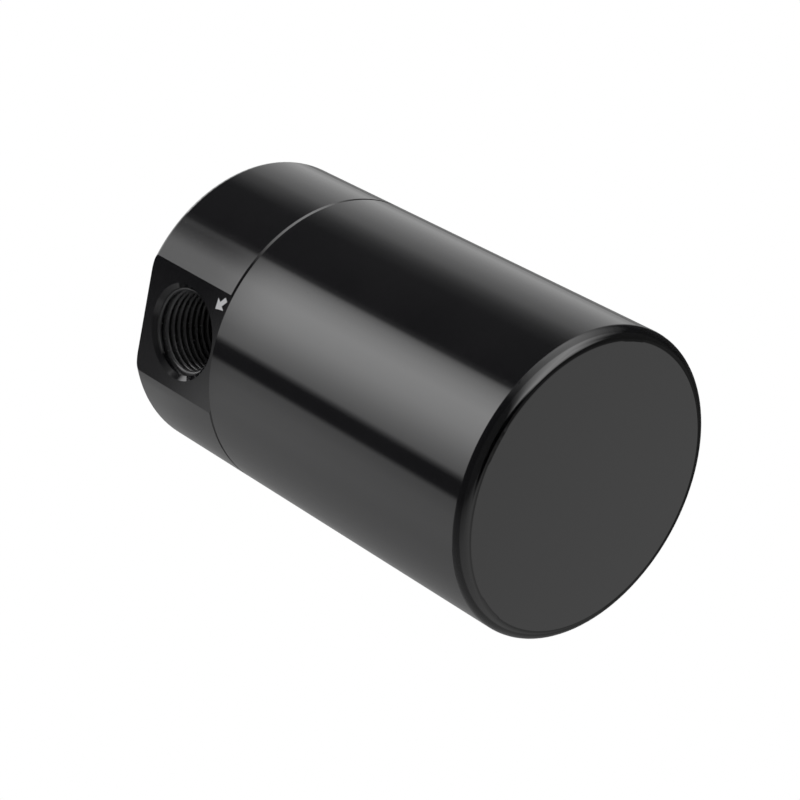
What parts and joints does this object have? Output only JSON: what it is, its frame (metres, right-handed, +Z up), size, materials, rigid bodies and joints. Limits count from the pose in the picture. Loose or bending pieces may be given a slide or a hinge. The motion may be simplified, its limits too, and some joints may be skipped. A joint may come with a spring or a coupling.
{
  "type": "oil catch can",
  "caption": "Black anodised oil catch can with a screw-on canister, side inlet and outlet ports on milled flats, and a baffle and mesh stack inside.",
  "frame": {"origin": "centre of the canister's flat base", "axes": "+Z up along the can's axis, from the base to the head; -X out of the inlet port and +X out of the outlet port"},
  "size_m": [0.06, 0.06, 0.096],
  "materials": {
    "anodised_black": "satin",
    "black_rubber": "matte",
    "plain_aluminium": "satin",
    "plated_steel": "satin",
    "knitted_wire": "satin",
    "brass": "satin",
    "sintered_bronze": "matte"
  },
  "bodies": {
    "canister": {"canister": "anodised_black"},
    "seal": {"canister_seal": "black_rubber"},
    "pad": {"mesh_pad": "knitted_wire"},
    "head": {"head": "anodised_black", "inlet_tube": "plain_aluminium", "upper_baffle": "plain_aluminium", "lower_baffle": "plain_aluminium", "baffle_spacer": "plain_aluminium", "nut_lock_washer": "plated_steel", "baffle_nut": "plated_steel", "standoff_1": "plated_steel", "standoff_2": "plated_steel", "standoff_3": "plated_steel", "screw_1": "plated_steel", "screw_2": "plated_steel", "screw_3": "plated_steel", "screw_lock_washer_1": "plated_steel", "screw_lock_washer_2": "plated_steel", "screw_lock_washer_3": "plated_steel", "filter_fitting": "brass", "outlet_filter": "sintered_bronze"}
  },
  "joints": [
    {"name": "lift_off", "type": "slide", "parent": "canister", "child": "seal", "axis": [0, 0, 1], "range_m": [0, 0.09]},
    {"name": "thread_rise", "type": "slide", "parent": "seal", "child": "pad", "axis": [0, 0, 1], "range_m": [0, 0.0075]},
    {"name": "head_turn", "type": "hinge", "parent": "pad", "child": "head", "pos_m": [0, 0, 0], "axis": [0, 0, 1], "range_deg": [0, 1800]}
  ],
  "couplings": [
    {"joint": "thread_rise", "follows": "head_turn", "m_per_rad": 0.00023873}
  ]
}
